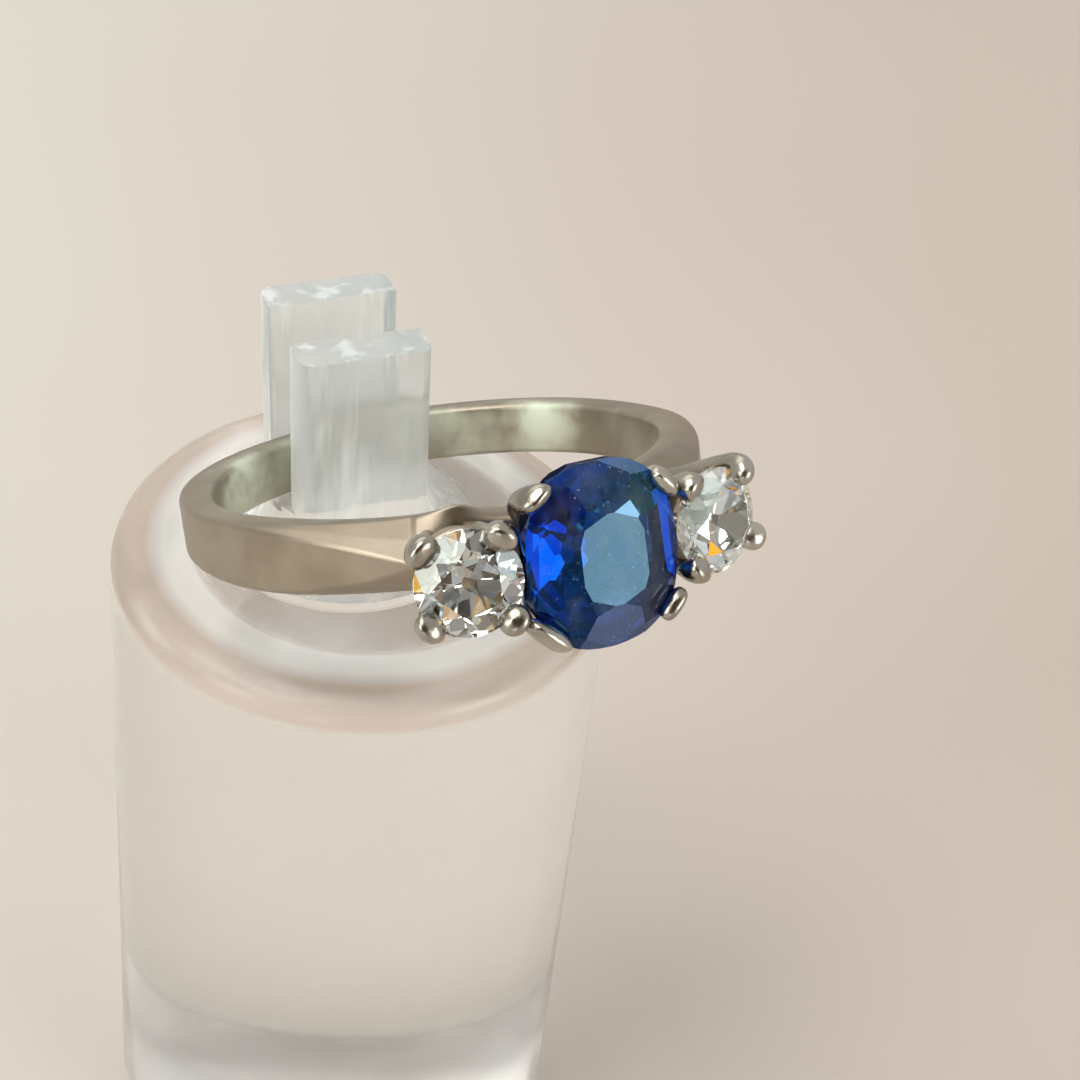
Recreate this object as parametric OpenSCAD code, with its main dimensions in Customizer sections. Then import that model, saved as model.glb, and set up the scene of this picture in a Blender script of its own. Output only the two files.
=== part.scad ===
// Three-stone sapphire ring held in the slit of a clear display stand.
// Millimetres, +Z up. The origin is the centre of the stand's underside, on the column's axis.
// The ring lies nearly flat with its head towards -Y, tipped up by ring_lean.

/* [Finger band] */
// Radius of the finger hole
finger_r = 8.6; // [8.5:0.05:8.7]
// Outside radius of the band at the back
band_r = 9.9; // [9.8:0.05:10]
// Width of the band along the finger
band_w = 2.14; // [2:0.02:2.2]
// Outside radius of the shoulders' crest beside the head
shoulder_r = 10.9; // [10.6:0.1:11.2]
// Angle from the middle of the head to the point of each shoulder's flat
shoulder_end = 29; // [28:1:31]
// Angle from the middle of the head to where the bevels begin
bevel_start = 68; // [62:1:76]
// Width across the shoulder's peaks beside the outer stones
peak_w = 3.2; // [2.8:0.1:3.4]

/* [Sapphire] */
// Width of the sapphire across the head
sapphire_w = 5.7; // [5.6:0.05:5.75]
// Length of the sapphire along the finger
sapphire_l = 6.5; // [6.3:0.05:6.7]
// Distance from the finger's axis to the sapphire's girdle
sapphire_out = 13.33; // [13.2:0.05:13.5]
// Height of the sapphire's table over its girdle
sapphire_crown = 0.92; // [0.85:0.01:1]

/* [Diamonds] */
// Diameter of each diamond
diamond_d = 3.72; // [3.6:0.02:3.8]
// Distance of each diamond's centre from the middle of the head
diamond_side = 4.74; // [4.7:0.02:4.9]
// Distance from the finger's axis to each diamond's girdle, along the head
diamond_out = 12.8; // [12.6:0.05:13]
// Angle by which each diamond faces outwards
diamond_splay = 15.4; // [14:0.2:17]

/* [Claws] */
// Thickness of the sapphire's claws
sapphire_claw_d = 0.76; // [0.7:0.02:0.84]
// Width of the sapphire's claw tips along the stone's corner
sapphire_tip_w = 1.7; // [1.5:0.05:1.8]
// Thickness of the diamonds' claws
diamond_claw_d = 0.66; // [0.6:0.02:0.7]
// Diameter of the bead on each of the diamonds' claws
bead_d = 1.1; // [1:0.05:1.2]

/* [Stand] */
// Diameter of the column
column_d = 21.2; // [20:0.2:24]
// Height of the column
column_h = 33; // [30:1:40]
// Radius of the column's top edge
column_edge = 1.2; // [0.8:0.1:1.6]
// Width of the clip's post
post_w = 5.4; // [5:0.1:5.6]
// Depth of the clip's post
post_d = 6.8; // [6.6:0.1:7.2]
// Length of the clip's post
post_l = 10.1; // [9:0.1:11]
// Angle by which the post leans back
post_lean = 5.4; // [4.6:0.2:6.2]
// Width of the slit that holds the band
slit_w = 3.2; // [3.2:0.05:3.3]

/* [Pose on the stand] */
// Height of the ring's centre over the top of the column
ring_up = 7.6; // [7.6:0.05:7.8]
// Distance of the ring's centre in front of the column's axis
ring_front = 6.35; // [6.3:0.05:6.4]
// Angle by which the head is tipped up
ring_lean = 26.2; // [26:0.2:26.6]

/* [Hidden] */

// Colours
metal_colour = [0.78, 0.75, 0.7];
sapphire_colour = [0.04, 0.14, 0.7];
diamond_colour = [0.93, 0.95, 0.96];
acrylic_colour = [0.9, 0.92, 0.93, 0.4];

// Gaps that keep the pieces apart
stone_gap = 0.03;
clip_gap = 0.02;

// Band
band_steps = 76;
band_half = band_w / 2;
band_corner = 0.18;
shoulder_side = 0.75;
bridge_r = 9.75;
bridge_half = 1.15;
crest_half = 0.05;
peak_at = 20;
peak_spread = 4.5;

// Outlines of the stones: half width, half length and how square the corners are
sapphire_outline = [sapphire_w / 2, sapphire_l / 2, 2.45];
diamond_outline = [diamond_d / 2, diamond_d / 2, 2];
girdle_t = 0.1;
girdle_sides = 48;

// Facets of a stone, a row for each tier
// [number, first azimuth, slope, reach as a share of the outline, height of the plane there]
diamond_crown = 0.62;
diamond_main = 35;
diamond_table = 1 - (diamond_crown - girdle_t / 2) / tan(diamond_main) / (diamond_d / 2);
diamond_facets = [
    [1, 0, 0, 0, diamond_crown],
    [8, 0, 22, diamond_table * cos(22.5), diamond_crown],
    [8, 22.5, diamond_main, 1, girdle_t / 2],
    [16, 11.25, 42, 0.99, girdle_t / 2],
    [16, 11.25, 136.5, 0.99, -girdle_t / 2],
    [8, 22.5, 139, 1, -girdle_t / 2],
    [1, 0, 180, 0, -1.5]
];
sapphire_main = 28;
sapphire_table = 0.47;
sapphire_facets = [
    [1, 0, 0, 0, sapphire_crown],
    [8, 22.5, 15, sapphire_table * 0.98, sapphire_crown],
    [8, 0, sapphire_main, 1, girdle_t / 2],
    [16, 11.25, 38, 0.985, girdle_t / 2],
    [16, 11.25, 132, 0.99, -girdle_t / 2],
    [8, 0, 136, 1, -girdle_t / 2],
    [1, 0, 180, 0, -2.6]
];

// Claws: corner angles of the four claws round a stone
claw_angles = [45, 135, 225, 315];
sapphire_claw_at = 3.15;
diamond_claw_at = diamond_d / 2 + 0.1;

// Where the post stands on the column, and how the slit lies in it
post_foot = [-0.44, 1.1];
post_turn = -7;
post_corner = 0.6;
slit_back = 0.1;
slit_floor = 2.3;
foot_r = 5.6;
foot_curve = 2.2;
foot_lip = 0.5;

column_r = column_d / 2;
fine = 96;

// A value that goes from a to b while x goes from x0 to x1, with level ends
function ease(x, x0, x1, a, b) =
    let (t = min(1, max(0, (x - x0) / (x1 - x0))))
    a + (b - a) * t * t * (3 - 2 * t);

// The same with a straight slope
function slope(x, x0, x1, a, b) =
    a + (b - a) * min(1, max(0, (x - x0) / (x1 - x0)));

// How far a stone's outline reaches in the direction of an azimuth
function reach(outline, azimuth) =
    let (q = outline[2] / (outline[2] - 1))
    pow(pow(outline[0] * abs(cos(azimuth)), q) + pow(outline[1] * abs(sin(azimuth)), q), 1 / q);

// Points of a stone's outline, as a squared ellipse
function outline_points(outline, grow) = [
    for (i = [0 : girdle_sides - 1])
        let (a = 360 * i / girdle_sides, e = 2 / outline[2])
        [(outline[0] + grow) * sign(cos(a)) * pow(abs(cos(a)), e),
         (outline[1] + grow) * sign(sin(a)) * pow(abs(sin(a)), e)]
];

// Puts a piece of the ring where the ring leans in the stand
module in_stand() {
    translate([0, -ring_front, column_h + ring_up])
        rotate([-ring_lean, 0, 0])
            children();
}

// Puts a stone or its claws on the head, with its face outwards
module on_head(side, out, splay) {
    translate([side, -out, 0])
        rotate([0, 0, splay])
            rotate([90, 0, 0])
                children();
}

// One plane facet: everything beyond the plane, to be cut away
module beyond_plane(azimuth, incline, distance) {
    size = 20;
    rotate([0, 0, azimuth])
        rotate([0, incline, 0])
            translate([-size / 2, -size / 2, distance])
                cube(size);
}

// A faceted stone with its girdle at z = 0, or its seat when it is grown by a gap
module cut_stone(outline, facets, grow = 0) {
    difference() {
        translate([0, 0, -4])
            linear_extrude(8)
                polygon(outline_points(outline, grow));
        for (tier = facets)
            for (i = [0 : tier[0] - 1])
                let (azimuth = tier[1] + i * 360 / tier[0],
                     across = tier[3] * reach(outline, azimuth) * sin(tier[2]),
                     up = tier[4] * cos(tier[2]))
                beyond_plane(azimuth, tier[2], across + up + grow);
    }
}

// Cross-section of the band at an angle from the middle of the head, as [radius, height] points
function band_section(angle) =
    let (
        from_head = abs(angle),
        under = from_head < shoulder_end,
        crest = under
            ? ease(from_head, peak_at, shoulder_end, bridge_r, shoulder_r)
            : ease(from_head, shoulder_end, bevel_start, shoulder_r, band_r),
        crest_w = under
            ? ease(from_head, peak_at, shoulder_end, bridge_half * 0.6, crest_half)
            : slope(from_head, shoulder_end, bevel_start, crest_half, band_half - band_corner),
        edge = under
            ? bridge_r - band_corner
            : ease(from_head, shoulder_end, bevel_start, finger_r + shoulder_side, band_r - band_corner),
        peak = (peak_w / 2 - band_half) * exp(-pow((from_head - peak_at) / peak_spread, 2)),
        side = band_half + peak
    )
    [
        [finger_r, -band_half + band_corner],
        [finger_r, band_half - band_corner],
        [finger_r + band_corner / 2, band_half - band_corner / 4],
        [finger_r + band_corner * 2, band_half + peak * 0.4],
        [edge, side],
        [(edge + crest) / 2 + 0.04, (side + crest_w) / 2 + 0.04],
        [crest, crest_w],
        [crest, -crest_w],
        [(edge + crest) / 2 + 0.04, -(side + crest_w) / 2 - 0.04],
        [edge, -side],
        [finger_r + band_corner * 2, -band_half - peak * 0.4],
        [finger_r + band_corner / 2, -band_half + band_corner / 4]
    ];

// Faces that close a grid of points in both directions, rings of so many sides
function loop_faces(rings, sides) = [
    for (i = [0 : rings - 1])
        for (j = [0 : sides - 1])
            let (i2 = (i + 1) % rings, j2 = (j + 1) % sides)
            for (f = [[i * sides + j, i2 * sides + j2, i2 * sides + j],
                      [i * sides + j, i * sides + j2, i2 * sides + j2]])
                f
];

// The band with its shoulders and the bridge under the stones, closed on itself
module band() {
    sides = len(band_section(0));
    points = [
        for (i = [0 : band_steps - 1])
            let (angle = 180 - 360 * i / band_steps)
            for (p = band_section(angle))
                [p[0] * sin(angle), -p[0] * cos(angle), p[1]]
    ];
    polyhedron(points, loop_faces(band_steps, sides));
}

// A round bar between two points, each [distance from the stone's axis, height, radius]
module bar(from, to, wide = 0) {
    hull() {
        for (end = [from, to])
            for (side = wide > 0 ? [-1, 1] : [0])
                translate([end[0], side * wide, end[1]])
                    sphere(end[2], $fn = 8);
    }
}

// A claw that rises from the side of the shoulder or bridge beside a diamond and ends in a bead
module diamond_claw() {
    r = diamond_claw_d / 2;
    path = [[1.45, -4.15, r], [1.62, -2.6, r], [diamond_claw_at, -0.6, r], [diamond_claw_at + 0.04, 0.1, r]];
    for (i = [0 : len(path) - 2])
        bar(path[i], path[i + 1]);
    translate([diamond_claw_at - 0.04, 0, 0.28])
        sphere(bead_d / 2, $fn = 12);
}

// A broad claw that rises from the bridge beside the sapphire and lies over its corner
module sapphire_claw() {
    r = sapphire_claw_d / 2;
    half = sapphire_tip_w / 2 - r;
    bar([1.4, -3.95, r], [2.35, -1.9, r], 0);
    bar([2.35, -1.9, r], [sapphire_claw_at, -0.55, r], 0.12);
    bar([sapphire_claw_at, -0.55, r], [sapphire_claw_at + 0.1, 0.12, r], half * 0.8);
    bar([sapphire_claw_at + 0.1, 0.12, r], [sapphire_claw_at - 0.25, 0.4, r * 0.85], half);
}

// A wire rail round a stone, at a share of its outline
module rail(outline, share, height, wire) {
    rails = 20;
    sides = 6;
    e = 2 / outline[2];
    points = [
        for (i = [0 : rails - 1])
            let (a = 360 * i / rails,
                 x = sign(cos(a)) * pow(abs(cos(a)), e),
                 y = sign(sin(a)) * pow(abs(sin(a)), e),
                 out = [x, y] / norm([x, y]))
            for (j = [0 : sides - 1])
                let (t = 360 * j / sides)
                [share * outline[0] * x + wire * cos(t) * out[0],
                 share * outline[1] * y + wire * cos(t) * out[1],
                 height + wire * sin(t)]
    ];
    polyhedron(points, loop_faces(rails, sides));
}

// The open collet of one stone: rails and four claws
module sapphire_collet() {
    rail(sapphire_outline, 0.8, -1.25, 0.3);
    rail(sapphire_outline, 0.56, -2.75, 0.3);
    for (a = claw_angles)
        rotate([0, 0, a])
            sapphire_claw();
}

module diamond_collet() {
    rail(diamond_outline, 0.8, -0.95, 0.24);
    rail(diamond_outline, 0.6, -2.4, 0.26);
    for (a = claw_angles)
        rotate([0, 0, a])
            diamond_claw();
}

// Band, bridge and the three collets, soldered into one piece, with a seat cut for each stone
module ring_mount() {
    color(metal_colour)
        in_stand()
            difference() {
                union() {
                    band();
                    on_head(0, sapphire_out, 0)
                        sapphire_collet();
                    for (side = [-1, 1])
                        on_head(side * diamond_side, diamond_out, side * diamond_splay)
                            diamond_collet();
                }
                on_head(0, sapphire_out, 0)
                    cut_stone(sapphire_outline, sapphire_facets, stone_gap);
                for (side = [-1, 1])
                    on_head(side * diamond_side, diamond_out, side * diamond_splay)
                        cut_stone(diamond_outline, diamond_facets, stone_gap);
                cylinder(h = 12, r = finger_r, center = true, $fn = 180);
            }
}

module sapphire() {
    color(sapphire_colour)
        in_stand()
            on_head(0, sapphire_out, 0)
                cut_stone(sapphire_outline, sapphire_facets);
}

module diamond(side) {
    color(diamond_colour)
        in_stand()
            on_head(side * diamond_side, diamond_out, side * diamond_splay)
                cut_stone(diamond_outline, diamond_facets);
}

module diamond_left() {
    diamond(-1);
}

module diamond_right() {
    diamond(1);
}

// The round column, with a rounded top edge and a small chamfer at the base
module stand_column() {
    chamfer = 0.4;
    arc = [for (a = [0 : 15 : 90])
        [column_r - column_edge + column_edge * cos(a), column_h - column_edge + column_edge * sin(a)]];
    color(acrylic_colour)
        rotate_extrude($fn = fine)
            polygon(concat([[0, 0], [column_r - chamfer, 0], [column_r, chamfer]], arc, [[0, column_h]]));
}

// Turns and leans a piece as the post stands on the column
module in_post() {
    translate([post_foot[0], post_foot[1], column_h])
        rotate([-post_lean, 0, 0])
            rotate([0, 0, post_turn])
                children();
}

// The post's outline with rounded corners
module post_outline() {
    inner_w = post_w - 2 * post_corner;
    inner_d = post_d - 2 * post_corner;
    square([inner_w, post_d], center = true);
    square([post_w, inner_d], center = true);
    for (x = [-1, 1])
        for (y = [-1, 1])
            translate([x * inner_w / 2, y * inner_d / 2])
                circle(post_corner, $fn = 32);
}

// The clip: a leaning post on a flared foot, slit from the top to take the band
module stand_clip() {
    base = column_h + clip_gap;
    flare = [for (a = [0 : 15 : 90])
        [foot_r - foot_curve * sin(a), foot_lip + foot_curve * (1 - cos(a))]];
    color(acrylic_colour)
        difference() {
            union() {
                in_post()
                    translate([0, 0, -2])
                        linear_extrude(post_l + 2)
                            post_outline();
                translate([post_foot[0], post_foot[1], base])
                    rotate_extrude($fn = fine)
                        polygon(concat([[0, 0], [foot_r, 0]], flare, [[0, foot_lip + foot_curve]]));
            }
            in_post()
                translate([-post_w, slit_back - slit_w / 2, slit_floor])
                    cube([2 * post_w, slit_w, post_l]);
            translate([-column_d, -column_d, base - 10])
                cube([2 * column_d, 2 * column_d, 10]);
        }
}

ring_mount();
sapphire();
diamond_left();
diamond_right();
stand_column();
stand_clip();
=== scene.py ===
import math
from itertools import combinations

import bpy
import numpy as np
from bpy.props import FloatProperty, FloatVectorProperty, PointerProperty
from mathutils import Matrix, Vector


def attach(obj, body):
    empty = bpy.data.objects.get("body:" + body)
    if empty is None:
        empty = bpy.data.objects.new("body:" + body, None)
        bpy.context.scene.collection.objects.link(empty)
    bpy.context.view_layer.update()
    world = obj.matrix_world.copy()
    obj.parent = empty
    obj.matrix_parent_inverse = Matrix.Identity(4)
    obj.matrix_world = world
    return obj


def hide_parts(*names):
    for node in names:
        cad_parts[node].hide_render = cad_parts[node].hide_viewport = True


# A three-stone sapphire ring that leans in the slit of a clear display stand.
# Lengths are in metres, in the frame of the solids: +Z up, origin under the middle of the stand.
# Shapes of the ring are worked out in the ring's own frame (X across the head, -Y out through the
# sapphire, Z along the finger) and of a stone in the stone's own frame (Z out through its table).
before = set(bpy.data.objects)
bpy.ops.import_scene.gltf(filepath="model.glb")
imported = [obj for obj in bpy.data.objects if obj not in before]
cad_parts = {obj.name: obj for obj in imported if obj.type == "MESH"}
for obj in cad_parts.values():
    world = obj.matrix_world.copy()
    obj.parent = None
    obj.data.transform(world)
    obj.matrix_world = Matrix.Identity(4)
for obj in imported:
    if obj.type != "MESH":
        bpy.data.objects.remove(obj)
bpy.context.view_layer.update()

bl_info = {
    "name": "Sapphire ring on a stand",
    "version": (1, 0, 0),
    "blender": (4, 5, 0),
    "location": "3D Viewport > Sidebar > Ring",
    "description": "Builds a three-stone ring, its clear stand and the stage around them",
    "category": "Add Mesh",
}

MM = 0.001
SAPPHIRE_SQUARE = 2.45  # how square the sapphire's outline is: 2 would be an ellipse


# Sizes and colours that a user would change

def length(name, text, default_mm):
    """A length property, given in millimetres and kept in metres."""
    return FloatProperty(name=name, description=text, default=default_mm * MM, unit="LENGTH", precision=5)


def turn(name, text, degrees):
    """An angle property, given in degrees."""
    return FloatProperty(name=name, description=text, default=math.radians(degrees), subtype="ANGLE")


def tone(name, text, rgb):
    """A colour property."""
    return FloatVectorProperty(
        name=name, description=text, default=rgb, subtype="COLOR", size=3, min=0, max=1)


def deepening(name, per_metre):
    """A property for how strongly a stone colours the light."""
    return FloatProperty(
        name=name, description="How fast its colour deepens, per metre", default=per_metre)


class RingSizes(bpy.types.PropertyGroup):
    """Sizes of the band, its shoulders and the bridge under the stones"""
    finger_r: length("Finger radius", "Radius of the finger hole", 8.6)
    band_r: length("Band radius", "Outside radius at the back", 9.9)
    band_w: length("Band width", "Width along the finger at the back", 2.14)
    shoulder_w: length("Shoulder width", "Width across the shoulders", 2.6)
    bridge_w: length("Bridge width", "Width of the bridge under the stones", 2.0)
    shoulder_r: length("Shoulder radius", "Outside radius of the shoulders' crest", 10.9)
    shoulder_end: turn("Shoulder end", "Angle from the head to the point of the shoulder's flat", 29)
    bevel_start: turn("Bevel start", "Angle from the head to where the bevels begin", 84)
    shoulder_side: length("Shoulder side", "Height of the shoulder's upright side", 0.75)
    bridge_r: length("Bridge radius", "Outside radius of the bridge under the stones", 9.75)
    bridge_half: length("Bridge half width", "Half width of the bridge's flat", 0.6)
    peak_at: turn("Peak angle", "Angle from the head to the shoulder's flared peaks", 19.5)
    peak_spread: turn("Peak spread", "How far the peaks run along the band", 4.5)
    peak_w: length("Peak width", "Width across the peaks", 3.3)
    edge: length("Edge radius", "How far the band's worn edges are rounded", 0.09)
    lean: turn("Lean", "Angle by which the head is tipped up", 26.2)
    centre: FloatVectorProperty(
        name="Centre", description="Middle of the finger hole", subtype="TRANSLATION", unit="LENGTH",
        default=(0, -6.35 * MM, 40.6 * MM))


class StoneSizes(bpy.types.PropertyGroup):
    """Sizes and places of the three stones and of their claws"""
    sapphire_w: length("Sapphire width", "Width across the head", 5.7)
    sapphire_l: length("Sapphire length", "Length along the finger", 6.5)
    sapphire_out: length("Sapphire height", "From the finger's axis to the girdle", 13.33)
    sapphire_crown: length("Sapphire crown", "From the girdle to the table", 0.92)
    diamond_d: length("Diamond diameter", "Diameter of each diamond", 3.72)
    diamond_side: length("Diamond side", "From the middle of the head to each diamond", 4.74)
    diamond_out: length("Diamond height", "From the finger's axis to each girdle", 12.8)
    diamond_crown: length("Diamond crown", "From the girdle to the table", 0.62)
    diamond_splay: turn("Diamond splay", "Angle by which each diamond faces outwards", 15.4)
    girdle_t: length("Girdle", "Thickness of the girdles", 0.1)
    sapphire_claw_d: length("Sapphire claws", "Thickness of the sapphire's claws", 0.72)
    diamond_claw_d: length("Diamond claws", "Thickness of the diamonds' claws", 0.62)
    bead_d: length("Bead", "Diameter of the beads on the diamonds' claws", 1.12)


class StandSizes(bpy.types.PropertyGroup):
    """Sizes of the clear stand"""
    column_d: length("Column diameter", "Diameter of the column", 21.2)
    column_h: length("Column height", "Height of the column", 33)
    column_edge: length("Rounded edge", "Radius of the column's top edge", 1.2)
    chamfer: length("Chamfer", "Small chamfer at the base", 0.4)
    post_w: length("Post width", "Width of the post", 5.4)
    post_d: length("Post depth", "Depth of the post", 6.8)
    post_l: length("Post length", "Length of the post", 10.1)
    post_corner: length("Post corner", "Radius of the post's corners", 0.6)
    post_lean: turn("Post lean", "Angle by which the post leans back", 5.4)
    post_turn: turn("Post turn", "Angle by which the post is turned on the column", -7)
    post_foot: FloatVectorProperty(
        name="Post foot", description="Where the post stands on the column", size=2, unit="LENGTH",
        default=(-0.44 * MM, 1.1 * MM))
    slit_w: length("Slit width", "Width of the slit that takes the band", 3.2)
    slit_back: length("Slit place", "How far the slit lies behind the post's middle", 0.1)
    slit_floor: length("Slit floor", "Height of the slit's floor over the column", 2.3)
    foot_r: length("Foot radius", "Radius of the flared foot", 5.6)
    foot_curve: length("Foot curve", "Radius of the foot's hollow flank", 2.2)
    foot_lip: length("Foot lip", "Thickness of the foot's rim", 0.5)


class Finishes(bpy.types.PropertyGroup):
    """Colours of the materials and of the stage"""
    metal: tone("Metal", "Warm white metal of the band", (0.3, 0.25, 0.19))
    metal_worn: tone("Worn metal", "Band where it is rubbed", (0.39, 0.33, 0.26))
    claw: tone("Claws", "Polished metal of claws and beads", (0.31, 0.28, 0.23))
    claw_worn: tone("Worn claws", "Claws where they are rubbed", (0.52, 0.49, 0.43))
    blue: tone("Sapphire", "Colour of light that has crossed the sapphire", (0.1, 0.4, 0.93))
    blue_depth: deepening("Sapphire depth", 250)
    blue_glance: tone("Sapphire's mirror light", "Colour of light that its facets mirror", (0.1, 0.45, 0.8))
    ice: tone("Diamond", "Colour of light that has crossed a diamond", (0.95, 0.97, 0.98))
    ice_depth: deepening("Diamond depth", 30)
    acrylic: tone("Acrylic", "Clear plastic of the stand", (0.97, 0.975, 0.97))
    floor: tone("Floor", "Table top", (0.55, 0.47, 0.42))
    # painted light: the table is painted paler towards one side, where more light falls
    floor_painted_light: tone("Pale floor", "Lighter side of the table top", (0.64, 0.62, 0.57))
    sky: tone("Sky", "Light all round", (0.9, 0.89, 0.86))
    shade: tone("Shade", "The room behind the viewer", (0.14, 0.09, 0.055))
    # painted highlight: the pale film inside the band is mostly painted glint of light, with a little fine
    # wear all round
    inner: tone("Band's inside", "Fine wear inside the band, where it catches light", (0.82, 0.92, 0.74))


# Places and shapes

def norm(v):
    """Length of vectors, kept as a last axis of one."""
    return np.linalg.norm(v, axis=-1, keepdims=True)


def rotation(axis, angle):
    """Matrix that turns row vectors by an angle about X, Y or Z."""
    return np.array(Matrix.Rotation(angle, 3, axis)).T


def in_stand(points):
    """Ring's frame to the stand's: tipped about X by the lean, then moved to the hole's centre."""
    s = bpy.context.scene.ring_sizes
    return points @ rotation("X", -s.lean) + np.array(s.centre)


def on_head(points, side=0):
    """Stone's frame to the ring's: Z laid along -Y, turned by the splay and moved out to the head. Side is
    0 for the sapphire, -1 for the left diamond and 1 for the right one."""
    s = bpy.context.scene.stone_sizes
    out = s.diamond_out if side else s.sapphire_out
    turned = points @ rotation("X", math.pi / 2) @ rotation("Z", side * s.diamond_splay)
    return turned + np.array([side * s.diamond_side, -out, 0])


def ease(x, x0, x1, a, b):
    """From a to b while x goes from x0 to x1, as t^2 (3 - 2t)."""
    t = np.clip((x - x0) / (x1 - x0), 0, 1)
    return a + (b - a) * t * t * (3 - 2 * t)


def all_round(n):
    """n even angles once round, without the last, which is the first again."""
    return np.linspace(0, 2 * math.pi, n, endpoint=False)


def squared_ellipse(a, b, n, angle):
    """Points of |x/a|^n + |y/b|^n = 1: x = a cos^(2/n) and y = b sin^(2/n), each with its own sign."""
    x, y = (np.sign(k) * np.abs(k) ** (2 / n) for k in (np.cos(angle), np.sin(angle)))
    return np.stack([a * x, b * y], -1)


def smooth_path(points, n):
    """n points on the curve through given points, by Catmull-Rom: each span is the cubic whose slope
    at an end is half the step between that end's two neighbours."""
    p = np.asarray(points, float)
    p = np.vstack([2 * p[0] - p[1], p, 2 * p[-1] - p[-2]])
    u = np.linspace(0, len(points) - 1, n)
    k = np.minimum(u.astype(int), len(points) - 2)
    t = (u - k)[:, None]
    a, b, c, d = p[k], p[k + 1], p[k + 2], p[k + 3]
    return 0.5 * (2 * b + (c - a) * t + (2 * a - 5 * b + 4 * c - d) * t**2 + (3 * b - a - 3 * c + d) * t**3)


def soften(corners, reach):
    """Rounds the corners of closed outlines, (n, k, 2) to (n, 6k, 2). Each corner C becomes the curve
    (1-t)^2 A + 2t(1-t) C + t^2 B between points A and B on its two sides, with one more point on each
    side beyond, so that the flats stay flat."""
    sides = []
    for step in (1, -1):
        way = np.roll(corners, step, 1) - corners
        size = norm(way)
        # how far along the side, in reaches, and the greatest share of the side
        far, near = (
            corners + way * np.minimum(k * reach / size, share) for k, share in ((1.5, 0.45), (1, 0.36)))
        sides.append((far, near))
    (a_far, a), (b_far, b) = sides
    curve = [(1 - t) ** 2 * a + 2 * t * (1 - t) * corners + t * t * b for t in (0, 1 / 3, 2 / 3, 1)]
    return np.stack([a_far, *curve, b_far], 2).reshape(len(corners), -1, 2)


def grid_faces(rows, columns, closed_rows=True):
    """Quads of a grid of points whose columns close on themselves, and whose rows may."""
    i = np.arange(rows if closed_rows else rows - 1)[:, None]
    j = np.arange(columns)[None, :]
    i2, j2 = (i + 1) % rows, (j + 1) % columns
    quads = [i * columns + j, i2 * columns + j, i2 * columns + j2, i * columns + j2]
    return np.stack(quads, -1).reshape(-1, 4)


def outwards(points, faces):
    """The faces, turned round if the closed shape they make has a negative volume."""
    a, b, c = (points[faces[:, k]] for k in range(3))
    d = points[faces[:, 3]]
    volume = (a * np.cross(b, c)).sum() + (a * np.cross(c, d)).sum()
    return faces if volume > 0 else faces[:, ::-1]


def new_mesh(name, points, faces):
    """A mesh of points and faces."""
    mesh = bpy.data.meshes.new(name)
    mesh.from_pydata(points.tolist(), [], [list(f) for f in faces])
    return mesh


def add_object(name, data):
    """Puts a mesh, light or camera into the scene."""
    made = bpy.data.objects.new(name, data)
    bpy.context.scene.collection.objects.link(made)
    return made


def add_piece(name, points, faces, material, replaces=(), uv=None, smooth=True, crisp=None):
    """Makes a piece from points and faces, gives it its finish and lets it ride on the root body."""
    mesh = new_mesh(name, points, faces)
    mesh.validate()
    if uv is not None:
        layer = mesh.uv_layers.new(name="along")
        corner = np.empty(len(mesh.loops), int)
        mesh.loops.foreach_get("vertex_index", corner)
        layer.data.foreach_set("uv", uv[corner].astype(np.float32).ravel())
    mesh.polygons.foreach_set("use_smooth", np.full(len(mesh.polygons), smooth))
    piece = add_object(name, mesh)
    mesh.materials.append(material)
    if crisp is not None:
        mesh.set_sharp_from_angle(angle=crisp)
    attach(piece, "root")
    if replaces:
        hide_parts(*replaces)
    return piece


def add_tubes(name, shapes, material):
    """Makes one metal piece of tubes in the ring's frame. Each is a grid of points (rows, columns, 3) whose
    columns close; first and last rows that shrink to a point close its ends."""
    rows, columns, _ = shapes[0].shape
    faces = [
        outwards(shape.reshape(-1, 3), grid_faces(rows, columns, closed_rows=False)) + k * rows * columns
        for k, shape in enumerate(shapes)]
    u, v = np.meshgrid(np.linspace(0, 1, rows), np.linspace(0, 1, columns), indexing="ij")
    uv = np.tile(np.stack([u, v], -1).reshape(-1, 2), (len(shapes), 1))
    points = in_stand(np.stack(shapes).reshape(-1, 3))
    add_piece(name, points, np.vstack(faces), material, uv=uv)


# Materials

class Wire:
    """A socket that numbers and other sockets can be added to, taken from and multiplied with."""

    def __init__(self, finish, socket):
        self.finish = finish
        self.socket = socket

    def math(self, operation, other, swapped=False):
        """One sum of this socket and another socket or number, which comes first where swapped."""
        pair = (other, self) if swapped else (self, other)
        return self.finish.add("ShaderNodeMath", {"operation": operation}, {0: pair[0], 1: pair[1]})

    def __add__(self, other):
        return self.math("ADD", other)

    def __sub__(self, other):
        return self.math("SUBTRACT", other)

    def __rsub__(self, other):
        return self.math("SUBTRACT", other, True)

    def __mul__(self, other):
        return self.math("MULTIPLY", other)

    __radd__ = __add__
    __rmul__ = __mul__


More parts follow.
